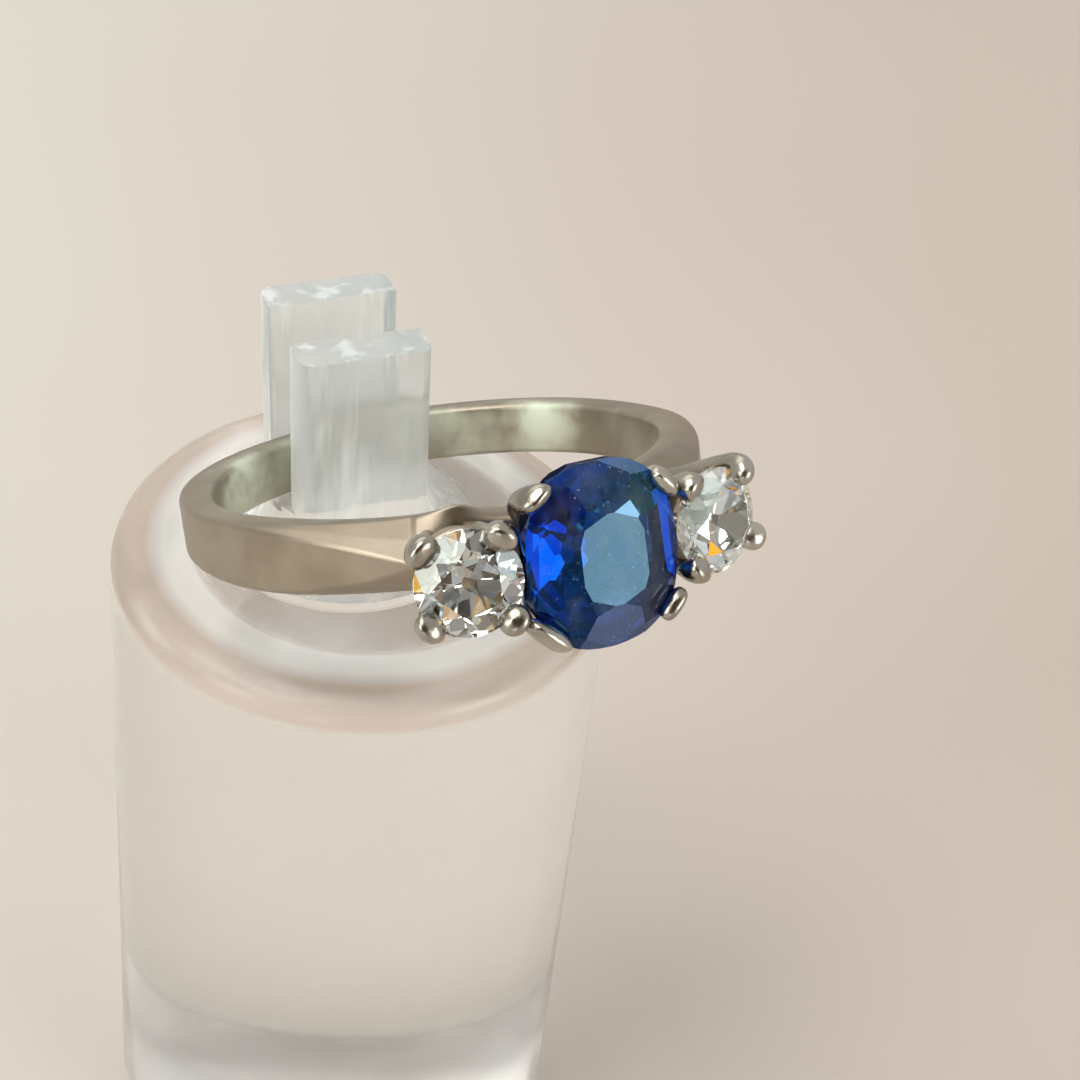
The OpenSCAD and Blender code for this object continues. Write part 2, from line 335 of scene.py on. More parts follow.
class Nodes:
    """A node tree, and the calls that add to it."""

    def __init__(self, tree):
        self.tree = tree

    def add(self, kind, settings=None, inputs=None, output=0):
        """Adds a node: its settings first, then the value or link of each socket."""
        node = self.tree.nodes.new(kind)
        for name, value in (settings or {}).items():
            setattr(node, name, value)
        for name, value in (inputs or {}).items():
            self.put(node.inputs[name], value)
        return Wire(self, node.outputs[output])

    def put(self, socket, value):
        """Links a socket, or sets its value."""
        if isinstance(value, Wire):
            self.tree.links.new(value.socket, socket)
        else:
            socket.default_value = value

    def noise(self, where, scale, detail=3, rough=0.55):
        """Cloudy noise, mostly between 0.3 and 0.7."""
        return self.add("ShaderNodeTexNoise", inputs={
            "Vector": where, "Scale": scale, "Detail": detail, "Roughness": rough})

    def between(self, value, low, high, a=0.0, b=1.0):
        """a below low, b above high, and straight between."""
        return self.add("ShaderNodeMapRange", inputs={
            "Value": value, "From Min": low, "From Max": high, "To Min": a, "To Max": b})

    def mix(self, share, a, b):
        """From colour a to colour b."""
        a, b = (k if isinstance(k, Wire) else (*k, 1) for k in (a, b))
        return self.add("ShaderNodeMix", {"data_type": "RGBA"}, {0: share, 6: a, 7: b}, output=2)


class Finish(Nodes):
    """A material whose shader takes constants by name, with _ for a space, and what varies through feed."""

    def __init__(self, name, **constants):
        self.material = bpy.data.materials.new(name)
        self.material.use_nodes = True
        super().__init__(self.material.node_tree)
        self.tree.nodes.clear()
        self.output = self.tree.nodes.new("ShaderNodeOutputMaterial")
        self.shader = self.principled(**constants)
        self.surface = Wire(self, self.shader.outputs[0])
        self.tree.links.new(self.surface.socket, self.output.inputs["Surface"])

    def principled(self, **constants):
        """A shader with these values."""
        shader = self.tree.nodes.new("ShaderNodeBsdfPrincipled")
        for name, value in constants.items():
            self.put(shader.inputs[name.replace("_", " ")], value)
        return shader

    def feed(self, **wires):
        """Links what varies over the surface to the shader's sockets."""
        for name, value in wires.items():
            self.put(self.shader.inputs[name.replace("_", " ")], value)

    def place(self, scale=(1, 1, 1), uv=False):
        """Coordinates in millimetres, or the piece's own UVs, each axis times its scale."""
        source = self.add("ShaderNodeTexCoord", output="UV" if uv else "Object")
        unit = 1 if uv else 1 / MM
        return self.add("ShaderNodeMapping", inputs={"Vector": source, "Scale": [k * unit for k in scale]})

    def attribute(self, name, output="Fac"):
        """A value kept on the piece's faces."""
        return self.add("ShaderNodeAttribute", {"attribute_name": name}, output=output)

    def bump(self, height, strength, distance):
        """Fine relief, as high as distance where height is 1."""
        self.feed(Normal=self.add("ShaderNodeBump", inputs={
            "Height": height, "Strength": strength, "Distance": distance}))

    def over(self, share, **constants):
        """Lays one more shader over what is there, as much as share."""
        film = self.principled(**constants)
        self.surface = self.add("ShaderNodeMixShader", inputs={
            0: share, 1: self.surface, 2: Wire(self, film.outputs[0])})
        self.tree.links.new(self.surface.socket, self.output.inputs["Surface"])

    def inside(self, colour, density):
        """Light that crosses the piece takes on this colour."""
        body = self.add("ShaderNodeVolumeAbsorption", inputs={"Color": (*colour, 1), "Density": density})
        self.tree.links.new(body.socket, self.output.inputs["Volume"])


def ring_metal(name, polish, fresh, rubbed):
    """Warm white metal, worn satin: large soft patches, fine lines along the piece and small dents.
    Polish from 0 to 1 makes it smoother."""
    m = Finish(name, Metallic=1.0)
    patches = m.noise(m.place(), 0.4)
    lines = m.noise(m.place((60, 340, 1), uv=True), 1.0, 4, 0.7)
    grain = m.noise(m.place(), 26, 3, 0.7)
    dents = m.noise(m.place(), 1.2 + 1.4 * polish, 2)
    m.feed(
        Base_Color=m.mix(m.between(patches, 0.35, 0.65), fresh, rubbed),
        Roughness=m.between(patches * 0.6 + lines * 0.4, 0.3, 0.7, 0.38 - 0.3 * polish, 0.5 - 0.34 * polish))
    # painted highlight: a pale film inside the band, mostly painted glint of light where the band's attribute
    # sets it, with a little fine wear all round
    m.over(
        m.attribute("inside") * m.between(patches, 0.4, 0.6, 0.2, 1), Roughness=0.45,
        Base_Color=(*bpy.context.scene.finishes.inner, 1))
    relief = dents * (0.2 + 0.6 * polish) + lines * 0.12 * (1 - polish) + grain * 0.12
    m.bump(relief, 0.5 + 0.4 * polish, 0.03 * MM)
    return m.material


def gem(name, ior, body, density, glance, worn=0.0, **lining):
    """A clear stone: each facet has a faint tint and a lining, painted light and shade which stand for what
    its facets mirror and for the light that a deep stone sends round inside; a lining can also give painted
    light of its own. The body's colour deepens with the way that light takes through it. The crown is rubbed:
    short scratches and specks that look pale, and where it is worn, cloudy patches. Glance is the colour of
    its mirror light."""
    m = Finish(name, Transmission_Weight=1.0, IOR=ior, Roughness=0.0, Specular_Tint=(*glance, 1))
    # painted light and shade on each facet: its tint, and a lining film that also gives light of its own
    m.feed(Base_Color=m.attribute("tint", "Color"))
    m.over(
        m.attribute("lined"), Base_Color=m.attribute("lining", "Color"),
        Emission_Color=m.attribute("painted_glow", "Color"), Emission_Strength=1.0, **lining)
    specks = m.between(m.noise(m.place(), 7, 2, 0.6), 0.66, 0.72)
    scratches = m.between(m.noise(m.place((2, 14, 3)), 1.6, 3, 0.7), 0.64, 0.74)
    clouds = m.between(m.noise(m.place((1.3, 1, 0.8)), 0.55, 4, 0.6), 0.45, 0.68, 0, worn)
    rubbed = m.attribute("rubbed") * (m.between(specks + scratches * 0.4, 0, 1, 0, 0.26) + clouds)
    m.over(rubbed, Base_Color=(0.55, 0.66, 0.76, 1), Roughness=0.4)
    m.inside(body, density)
    return m.material


def clear_acrylic():
    """Clear plastic with a faint tint, handling marks and fine dust, and painted light: on the column's top a
    pinkish-brown painted reflection at the rim and faint painted shade in the middle, a white painted
    highlight in the ring between, and on the post a white film with painted highlights.
    """
    c = bpy.context.scene.finishes
    m = Finish("clear_acrylic", Transmission_Weight=1.0, IOR=1.4)
    smears = m.noise(m.place((1, 1, 0.4)), 0.35, 4)
    m.feed(
        Base_Color=m.mix(m.between(smears, 0.4, 0.7), c.acrylic, (0.95, 0.94, 0.93)),
        Roughness=m.between(smears, 0.35, 0.7, 0.1, 0.17))
    height = m.add("ShaderNodeSeparateXYZ", inputs={0: m.place()}, output=2)
    from_axis = m.add("ShaderNodeVectorMath", {"operation": "LENGTH"}, {0: m.place((1, 1, 0))}, output=1)
    # the column's top, at a height of 33 mm, in three rings, and the post that stands on it
    top, post = m.between(height, 31.5, 32) * m.between(height, 33.2, 33.1), m.between(height, 33.2, 34)
    # painted light on the top: a pinkish-brown painted reflection of the warm table at the rim, a fainter
    # painted shade in the middle, and a white painted highlight in the ring between
    middle, rim = top * m.between(from_axis, 7.4, 6.8), top * m.between(from_axis, 8.4, 9.2)
    ring = top - middle - rim
    # painted highlights: white streak marks down the post
    painted_streaks = post * m.between(m.noise(m.place((1.3, 1.3, 0.12)), 0.8, 2), 0.52, 0.66)
    # fine dust all over, plus painted light: a white film that brightens the post, and the films on the top's
    # three rings
    haze_and_painted_light = m.between(smears, 0.3, 0.7, 0.06, 0.12) + post * 0.24 + middle * 0.1 + rim * 0.35
    m.over(
        haze_and_painted_light + ring * 0.32 + painted_streaks * 0.25,
        Base_Color=m.mix(post, m.mix(middle + rim, (1, 0.99, 0.96), (0.64, 0.5, 0.41)), (0.93, 1, 1)),
        Roughness=0.5)
    return m.material


def table_top():
    """Matt pale table top, painted paler and greyer towards one side as painted light."""
    c = bpy.context.scene.finishes
    m = Finish("table_top")
    patches = m.noise(m.place((0.02, 0.02, 0.02)), 1.0, 1)
    across = m.add(
        "ShaderNodeVectorMath", {"operation": "DOT_PRODUCT"}, {0: m.place(), 1: (-0.89, 0.45, 0)}, output=1)
    m.feed(
        Base_Color=m.mix(m.between(across + patches * 30, -30, 70), c.floor, c.floor_painted_light),
        Roughness=m.between(patches, 0.3, 0.7, 0.5, 0.6))
    return m.material


# Band

def band_corners(angle):
    """Corners of the band's section at angles from the middle of the head, as (radius, height). From the
    back the flat top narrows to a point at shoulder_end while the sides sink, so that two bevels meet in
    a crest; beyond it the crest dips to the bridge, and peaks flare out beside the outer stones."""
    s = bpy.context.scene.ring_sizes
    away = np.abs(angle)
    under = away < s.shoulder_end
    corner, point = 0.18 * MM, 0.05 * MM
    narrow_from, narrow_to = math.radians(55), math.radians(105)
    crest_bend, flat_bend = 2.2, 3.2
    outer_flank, inner_flank = 1.6, 0.9
    bulge = 0.04 * MM
    half = np.where(
        away < s.peak_at,
        ease(away, 0, s.peak_at, s.bridge_w / 2, s.shoulder_w / 2),
        ease(away, narrow_from, narrow_to, s.shoulder_w / 2, s.band_w / 2))
    left = np.clip((s.bevel_start - away) / (s.bevel_start - s.shoulder_end), 0, 1)
    crest = np.where(
        under,
        ease(away, s.peak_at, s.shoulder_end, s.bridge_r, s.shoulder_r),
        s.band_r + (s.shoulder_r - s.band_r) * left ** crest_bend)
    crest_w = np.where(
        under,
        ease(away, s.peak_at, s.shoulder_end, s.bridge_half, point),
        point + (half - corner - point) * (1 - left ** flat_bend))
    edge = np.where(
        under,
        s.bridge_r - corner,
        ease(away, s.shoulder_end, s.bevel_start, s.finger_r + s.shoulder_side, s.band_r - corner))
    flank = np.where(away > s.peak_at, outer_flank, inner_flank) * s.peak_spread
    peak = (s.peak_w - s.shoulder_w) / 2 * np.exp(-((away - s.peak_at) / flank) ** 2)
    side = half + peak
    inner = np.full_like(angle, s.finger_r)
    upper = [
        (inner, half - corner),
        (inner + corner / 2, half - corner / 4),
        (inner + corner * 2, half + peak * 0.4),
        (edge, side),
        ((edge + crest) / 2 + bulge, (side + crest_w) / 2 + bulge),
        (crest, crest_w),
    ]
    lower = [(r, -h) for r, h in reversed(upper)]
    return np.stack([np.stack(p, -1) for p in upper + lower], 1)


class RING_OT_band(bpy.types.Operator):
    """Band, shoulders and bridge: a rounded section carried round the finger"""
    bl_idname = "ring.band"
    bl_label = "Band"

    def execute(self, context):
        s, c = context.scene.ring_sizes, context.scene.finishes
        steps = 480
        angle = np.linspace(-math.pi, math.pi, steps, endpoint=False)
        section = soften(band_corners(angle), s.edge)
        radius, height = section[..., 0], section[..., 1]
        a = angle[:, None]
        points = np.stack([radius * np.sin(a), -radius * np.cos(a), height], -1)
        sides = section.shape[1]
        u, v = np.meshgrid(angle / (2 * math.pi), np.linspace(0, 1, sides), indexing="ij")
        flat = points.reshape(-1, 3)
        band = add_piece(
            "band", in_stand(flat), outwards(flat, grid_faces(steps, sides)),
            ring_metal("band_metal", 0.25, c.metal, c.metal_worn), replaces=("ring_mount",),
            uv=np.stack([u, v], -1).reshape(-1, 2))
        # a pale film on the finger's side: a little all round for fine wear, and more as painted highlights
        # where the light falls in: angle round the finger and spread in degrees, and how much
        everywhere = 0.06
        # where the pale film is painted as a highlight of light falling inside the band
        painted_glints = ((-138, 16, 1), (-168, 10, 0.3), (126, 11, 0.9), (150, 12, 0.6))
        reach_in, fade = 0.75 * MM, 0.7 * MM
        inner = np.clip((s.finger_r + reach_in - radius) / fade, 0, 1)
        painted_glare = sum(
            much * np.exp(-(np.sin((a - math.radians(at)) / 2) / math.radians(wide / 2)) ** 2)
            for at, wide, much in painted_glints)
        worn = inner * (everywhere + painted_glare * ease(height, -s.band_w / 2, s.band_w / 2, 0.3, 1))
        band.data.attributes.new("inside", "FLOAT", "POINT").data.foreach_set("value", worn.ravel())
        return {"FINISHED"}


# Claws and collets

def claw(path, half_across, half_thick, angle, lean=0.0, square=2.6, steps=72, sides=28):
    """A claw beside a stone, in the stone's frame. Its path is a curve of (distance from the stone's axis,
    height); at each step a squared ellipse lies across the path, |x/a|^n + |y/b|^n = 1, and at both ends
    its half sizes fall to nothing as sqrt(1 - t^2), which closes them as domes. The angle round the stone
    goes from angle + lean at the root to angle at the tip."""
    p = smooth_path(path, steps)
    at = np.linspace(0, 1, steps)
    a, b = smooth_path(np.stack([half_across, half_thick], -1), steps).T
    dome, root = 0.1, 0.06
    t = np.maximum(np.clip((at - (1 - dome)) / dome, 0, 1), np.clip((root - at) / root, 0, 1))
    shrink = np.sqrt(np.maximum(1 - t * t, 0))
    along = np.gradient(p, axis=0)
    along /= norm(along)
    normal = np.stack([along[:, 1], -along[:, 0]], -1)
    x, y = squared_ellipse(1, 1, square, all_round(sides)).T
    across = (a * shrink)[:, None] * x[None]
    thick = (b * shrink)[:, None] * y[None]
    out = p[:, :1] + normal[:, :1] * thick
    up = p[:, 1:] + normal[:, 1:] * thick
    azimuth = angle + lean * (1 - at[:, None])
    cos, sin = np.cos(azimuth), np.sin(azimuth)
    points = np.stack([out * cos - across * sin, out * sin + across * cos, up], -1)
    points[0] = points[0].mean(0)
    return points


class RING_OT_sapphire_claws(bpy.types.Operator):
    """Four broad claws that rise from the bridge and lie over the sapphire's corners"""
    bl_idname = "ring.sapphire_claws"
    bl_label = "Sapphire's claws"

    def execute(self, context):
        s, c = context.scene.stone_sizes, context.scene.finishes
        # points of a path from the root: whether it keeps to the claw's distance, distance, height, half
        # width, share of the tip's half width, share of the thickness
        follows, distance, height, width, share, thick = np.array([
            (0, 0.6, -4.75, 0.36, 0, 1), (0, 1.52, -3.3, 0.34, 0, 0.85), (0, 2.6, -2.05, 0.33, 0, 0.72),
            (1, -0.04, -0.9, 0, 0.5, 0.62), (1, 0.13, -0.3, 0, 0.74, 0.62), (1, 0.05, 0.16, 0, 1, 0.9),
            (1, -0.08, 0.42, 0, 0.98, 0.88), (1, -0.24, 0.6, 0, 0.76, 0.66),
        ]).T
        # angle round the stone, the claw's distance from its axis, half width of the tip, lean
        claws = [(130.5, 3.46, 0.58, 14), (40, 3.2, 0.6, 0), (-134, 3.3, 0.82, -16), (-44, 3.26, 0.62, 0)]
        shapes = []
        for angle, out, half, lean in claws:
            path = np.stack([follows * out + distance, height], -1) * MM
            across, depth = (width + share * half) * MM, thick * s.sapphire_claw_d / 2
            shapes.append(on_head(claw(path, across, depth, math.radians(angle), math.radians(lean))))
        add_tubes("sapphire_claws", shapes, ring_metal("claw_metal", 0.8, c.claw, c.claw_worn))
        return {"FINISHED"}


class RING_OT_diamond_claws(bpy.types.Operator):
    """Eight claws that rise from the shoulders and the bridge and end in beads over the diamonds"""
    bl_idname = "ring.diamond_claws"
    bl_label = "Diamonds' claws"

    def execute(self, context):
        s, c = context.scene.stone_sizes, context.scene.finishes
        r, bead = s.diamond_claw_d / 2, s.bead_d / 2
        # points of a path from the root: whether it keeps to the claw's distance, distance, share of the
        # bend inwards, height, share of the stem's thickness, shares of the bead's width and thickness
        follows, distance, inwards, height, stem, bead_w, bead_t = np.array([
            (0, 0.7, 0, -4.7, 1, 0, 0), (0, 1.1, 0, -3.5, 0.95, 0, 0), (0, 1.42, 0, -2.3, 0.95, 0, 0),
            (1, -0.3, 0, -1.25, 0.98, 0, 0), (1, -0.02, 0, -0.4, 1, 0, 0), (1, 0.02, 0, 0.05, 0, 0.86, 0.8),
            (1, 0, 0.25, 0.42, 0, 1, 0.98), (1, 0, 1, 0.72, 0, 0.9, 0.8),
        ]).T
        # side, angle round the stone, distance from its axis, bead's width and thickness, bend inwards
        claws = [
            (-1, 136, 2.1, 1.14, 0.9, 0.24), (-1, 51, 1.93, 1.06, 1, 0.24),
            (-1, -142, 1.96, 1, 0.9, 0.24), (-1, -47, 1.96, 1, 0.95, 0.24),
            (1, 131, 2.14, 0.95, 0.95, 0.24), (1, 55, 2.12, 0.68, 0.8, 0.72),
            (1, -138, 1.98, 0.95, 0.95, 0.24), (1, -34, 1.62, 0.9, 0.9, 0.24),
        ]
        shapes = []
        for side, angle, out, wide, thick, bend in claws:
            path = np.stack([follows * out + distance - inwards * bend, height], -1) * MM
            across, depth = stem * r + bead_w * bead * wide, stem * r + bead_t * bead * thick
            shapes.append(on_head(claw(path, across, depth, math.radians(angle), square=2.1), side))
        add_tubes("diamond_claws", shapes, ring_metal("bead_metal", 0.75, c.claw, c.claw_worn))
        return {"FINISHED"}


def rail(half_w, half_l, square, share, height, wire, steps=96, sides=16):
    """A wire round a stone: circles of radius wire carried along a share of its outline, which is a squared
    ellipse."""
    ring = squared_ellipse(half_w * share, half_l * share, square, np.linspace(0, 2 * math.pi, steps))
    core = np.column_stack([ring, np.full(steps, height)])
    out = core * [1, 1, 0]
    out /= norm(out)
    t = all_round(sides)[None, :, None]
    return core[:, None] + wire * (np.cos(t) * out[:, None] + np.sin(t) * [0, 0, 1])


class RING_OT_collets(bpy.types.Operator):
    """The rails that tie the claws together under each stone"""
    bl_idname = "ring.collets"
    bl_label = "Collets"

    def execute(self, context):
        s, c = context.scene.stone_sizes, context.scene.finishes
        oval = (s.sapphire_w / 2, s.sapphire_l / 2, SAPPHIRE_SQUARE)
        round_one = (s.diamond_d / 2, s.diamond_d / 2, 2)
        # side, outline, share of the outline, height, half thickness
        rails = [(0, oval, 0.42, -2.65, 0.25), (0, oval, 0.46, -3.25, 0.25)]
        for side in (-1, 1):
            rails += [(side, round_one, 0.8, -0.95, 0.24), (side, round_one, 0.6, -2.4, 0.26)]
        shapes = [
            on_head(rail(*outline, share, h * MM, wire * MM), side)
            for side, outline, share, h, wire in rails]
        add_tubes("collet_rails", shapes, ring_metal("rail_metal", 0.4, c.metal, c.metal_worn))
        return {"FINISHED"}


# Stones

def reach(outline, angle):
    """How far a squared ellipse |x/a|^n + |y/b|^n = 1 reaches in a direction:
    ((a cos)^q + (b sin)^q)^(1/q), with q = n / (n - 1)."""
    a, b, n = outline
    q = n / (n - 1)
    return ((a * abs(math.cos(angle))) ** q + (b * abs(math.sin(angle))) ** q) ** (1 / q)


def stone_planes(outline, tiers, seed, girdle_sides=48):
    """Planes round a stone as (normal, distance). A tier is (number, first azimuth, slope, share of the
    outline's reach, height there, unevenness), in degrees and millimetres: its planes lean by the slope
    and pass through that share of the reach at that height, and each is off by up to the unevenness, as
    a hand-cut stone is. The girdle's planes stand upright on the outline."""
    planes = []
    chance = np.random.default_rng(seed)
    for count, first, slope, share, height, uneven in tiers:
        for k in range(count):
            off = chance.uniform(-uneven, uneven, 2)
            a, lean = math.radians(first + 360 * k / count + 2 * off[0]), math.radians(slope + off[1])
            normal = (math.cos(a) * math.sin(lean), math.sin(a) * math.sin(lean), math.cos(lean))
            planes.append((*normal, share * reach(outline, a) * math.sin(lean) + height * math.cos(lean)))
    ring = squared_ellipse(*outline, all_round(girdle_sides))
    step = np.roll(ring, -1, 0) - ring
    normal = np.stack([step[:, 1], -step[:, 0]], -1) / norm(step)
    upright = np.column_stack([normal, np.zeros(girdle_sides), (normal * ring).sum(1)])
    return np.vstack([planes, upright])


def inside_planes(planes):
    """Corners and faces of the solid inside planes: a corner is where three planes meet, if it lies
    behind all the others; a face's corners lie on its plane, in order round their middle."""
    parallel, behind, same, on_plane = 1e-5, 1e-6, 1e-4, 1e-3
    triples = np.array(list(combinations(range(len(planes)), 3)))
    normals, distances = planes[:, :3], planes[:, 3]
    systems = normals[triples]
    solid = np.abs(np.linalg.det(systems)) > parallel
    corners = np.linalg.solve(systems[solid], distances[triples[solid]][..., None])[..., 0]
    corners = corners[(corners @ normals.T <= distances + behind).all(1)]
    _, first = np.unique(np.round(corners / same).astype(int), axis=0, return_index=True)
    corners = corners[first]
    faces, facing = [], []
    for normal, distance in zip(normals, distances):
        on = np.flatnonzero(np.abs(corners @ normal - distance) < on_plane)
        if len(on) < 3:
            continue
        centre = corners[on].mean(0)
        side = np.cross(normal, [0.3, 0.5, 0.81])
        around = corners[on] - centre
        faces.append(on[np.argsort(np.arctan2(around @ np.cross(normal, side), around @ side))])
        facing.append(normal)
    return corners, faces, np.array(facing)


def add_stone(node, outline, tiers, seed, paint, material, side=0):
    """Cuts a stone, sets it on the head and paints its facets with painted light and shade: paint takes their
    directions and a random source, and gives each one's tint, lining colour, how much it is lined, and the
    lining's own light."""
    corners, faces, facing = inside_planes(stone_planes(outline, tiers, seed))
    points = in_stand(on_head(corners * MM, side))
    piece = add_piece(f"{node}_stone", points, faces, material, replaces=(node,), smooth=False)
    tint, lining, lined, painted_glow = paint(facing, np.random.default_rng(seed))
    for kind, colour in (("tint", tint), ("lining", lining), ("painted_glow", painted_glow)):
        layer = piece.data.attributes.new(kind, "FLOAT_COLOR", "FACE")
        layer.data.foreach_set("color", np.column_stack([colour, np.ones(len(faces))]).ravel())
    for kind, value in (("lined", lined), ("rubbed", np.clip(facing[:, 2], 0, 1) ** 2)):
        layer = piece.data.attributes.new(kind, "FLOAT", "FACE")
        layer.data.foreach_set("value", value)


def turned_from(azimuth, facing):
    """How many degrees round the stone lie between each facet and each azimuth."""
    own = np.degrees(np.arctan2(facing[:, 1], facing[:, 0]))
    return np.abs((own[:, None] - azimuth + 180) % 360 - 180)


def nearest(kind, facing, table):
    """Rows of a table that starts with kind and azimuth in degrees: for each facet the row of its own kind
    that is nearest to its azimuth."""
    other_kind = 1000 * (kind[:, None] != table[None, :, 0])
    return table[(turned_from(table[:, 1], facing) + other_kind).argmin(1), 2:]


class RING_OT_sapphire(bpy.types.Operator):
    """The sapphire: a cushion oval with a brilliant crown and a stepped pavilion"""
    bl_idname = "ring.sapphire"
    bl_label = "Sapphire"

    # upper bounds of the facets' Z, from the culet (0) through five steps of the pavilion (1 to 5), the
    # belt (6), the girdle (7), the break facets (8), the mains (9) and the stars (10) up to the table (11)
    KINDS = (-0.96, -0.89, -0.82, -0.76, -0.7, -0.5, -0.05, 0.05, 0.84, 0.92, 0.99)
    # painted light inside the stone, bright strips and a dark middle: kind, azimuth, lining colour, how much,
    # its own light
    BELOW = np.array([
        (0, 0, 0, 0.02, 0.14, 0.6, 0),
        (1, 22.5, 0, 0.03, 0.2, 0.3, 0), (1, 67.5, 0, 0.02, 0.12, 0.6, 0),
        (1, 112.5, 0, 0.02, 0.2, 0.6, 0), (1, 157.5, 0, 0.22, 0.9, 0.9, 0.5),
        (1, -157.5, 0, 0.42, 1, 0.95, 1), (1, -112.5, 0, 0.02, 0.14, 0.7, 0),
        (1, -67.5, 0.01, 0.02, 0.1, 0.7, 0), (1, -22.5, 0, 0.02, 0.14, 0.4, 0),
        (2, 0, 0, 0.03, 0.18, 0.6, 0), (2, 45, 0, 0.02, 0.12, 0.8, 0), (2, 90, 0, 0.04, 0.3, 0.6, 0.1),
        (2, 135, 0, 0.03, 0.25, 0.8, 0), (2, 180, 0, 0.34, 1, 0.95, 0.9),
        (2, -135, 0, 0.015, 0.14, 0.85, 0), (2, -90, 0, 0.03, 0.2, 0.6, 0),
        (2, -45, 0.01, 0.01, 0.07, 0.8, 0),
        (3, 0, 0.015, 0.01, 0.06, 0.85, 0), (3, 45, 0, 0.03, 0.2, 0.8, 0),
        (3, 90, 0, 0.06, 0.45, 0.8, 0.2), (3, 135, 0, 0.06, 0.45, 0.8, 0.2),
        (3, 180, 0, 0.2, 0.95, 0.95, 0.5), (3, -135, 0, 0.02, 0.15, 0.85, 0),
        (3, -90, 0, 0.02, 0.12, 0.8, 0), (3, -45, 0.01, 0.01, 0.06, 0.8, 0),
        (4, 0, 0, 0.24, 0.95, 0.95, 0.7), (4, 45, 0, 0.1, 0.6, 0.8, 0.2), (4, 90, 0, 0.03, 0.2, 0.8, 0),
        (4, 180, 0, 0.02, 0.15, 0.9, 0), (4, -90, 0, 0.02, 0.12, 0.8, 0),
        (4, -45, 0.01, 0.01, 0.06, 0.8, 0),
        (5, 0, 0, 0.05, 0.35, 0.9, 0.2), (5, 180, 0, 0.02, 0.15, 0.9, 0),
        (6, 0, 0, 0.003, 0.02, 0.95, 0),
        (7, 0, 0, 0.01, 0.06, 0.5, 0),
    ])
    # painted reflections on the crown: kind, azimuth, tint, film colour, how much film
    ABOVE = np.array([
        (8, 11, 0, 0.34, 0.8, 0.02, 0.08, 0.4, 0.3), (8, 34, 0, 0.3, 0.8, 0.02, 0.08, 0.4, 0.3),
        (8, 56, 0.03, 0.3, 0.8, 0.1, 0.2, 0.36, 0.6), (8, 79, 0.03, 0.3, 0.8, 0.1, 0.19, 0.36, 0.6),
        (8, 101, 0.01, 0.25, 0.7, 0.01, 0.04, 0.14, 0.1), (8, 135, 0.01, 0.25, 1, 0.01, 0.05, 0.3, 0.05),
        (8, 180, 0.01, 0.3, 1, 0, 0.06, 0.4, 0), (8, -124, 0.02, 0.2, 0.8, 0.01, 0.03, 0.14, 0.1),
        (8, -90, 0.1, 0.3, 0.9, 0.12, 0.17, 0.34, 0.5), (8, -56, 0.1, 0.25, 0.7, 0.07, 0.09, 0.18, 0.35),
        (8, -22, 0.1, 0.12, 0.4, 0.04, 0.03, 0.1, 0.25),
        (9, 0, 0.02, 0.34, 0.8, 0.04, 0.03, 0.09, 0.2), (9, 45, 0.03, 0.5, 0.6, 0.01, 0.075, 0.085, 0.4),
        (9, 90, 0.01, 0.25, 0.7, 0.01, 0.04, 0.14, 0.1), (9, 135, 0.01, 0.25, 1, 0.01, 0.05, 0.3, 0),
        (9, 180, 0.01, 0.3, 1, 0, 0.06, 0.4, 0), (9, -135, 0.02, 0.2, 0.8, 0.01, 0.03, 0.14, 0.05),
        (9, -90, 0.1, 0.3, 0.9, 0.15, 0.2, 0.38, 0.52), (9, -45, 0.1, 0.2, 0.6, 0.07, 0.08, 0.16, 0.3),
        (10, 22.5, 0, 0.34, 0.8, 0.03, 0.08, 0.25, 0.3), (10, 67.5, 1, 1, 1, 0.3, 0.65, 1, 0.95),
        (10, 112.5, 0.01, 0.25, 0.9, 0.01, 0.05, 0.3, 0.1), (10, 157.5, 0.01, 0.3, 1, 0, 0.06, 0.4, 0),
        (10, -157.5, 0.01, 0.3, 1, 0, 0.06, 0.4, 0), (10, -112.5, 0.03, 0.25, 0.8, 0.06, 0.1, 0.25, 0.2),
        (10, -67.5, 0.1, 0.25, 0.7, 0.08, 0.1, 0.2, 0.3),
        (10, -22.5, 0.1, 0.12, 0.4, 0.04, 0.03, 0.08, 0.3),
        (11, 0, 0.02, 0.2, 0.9, 0.34, 0.47, 0.5, 0.27),
    ])

    def paint(self, facing, chance):
        """Painted light and shade: teal and slate painted reflections at the crown's upper right and foot,
        navy elsewhere; below, painted bright strips at the two sides, and a painted dark middle."""
        kind = np.digitize(facing[:, 2], self.KINDS)
        up = (kind > 7)[:, None]
        below, above = nearest(kind, facing, self.BELOW), nearest(kind, facing, self.ABOVE)
        tint = np.where(up, above[:, :3], 1)
        lining = np.where(up, above[:, 3:6], below[:, :3])
        lined = np.where(up[:, 0], above[:, 6], below[:, 3])
        painted_glow = lining * np.where(up, 0, below[:, 4:])
        lining[kind < 10] *= chance.uniform(0.7, 1.3, ((kind < 10).sum(), 1))
        return tint, np.clip(lining, 0, 1), lined, painted_glow

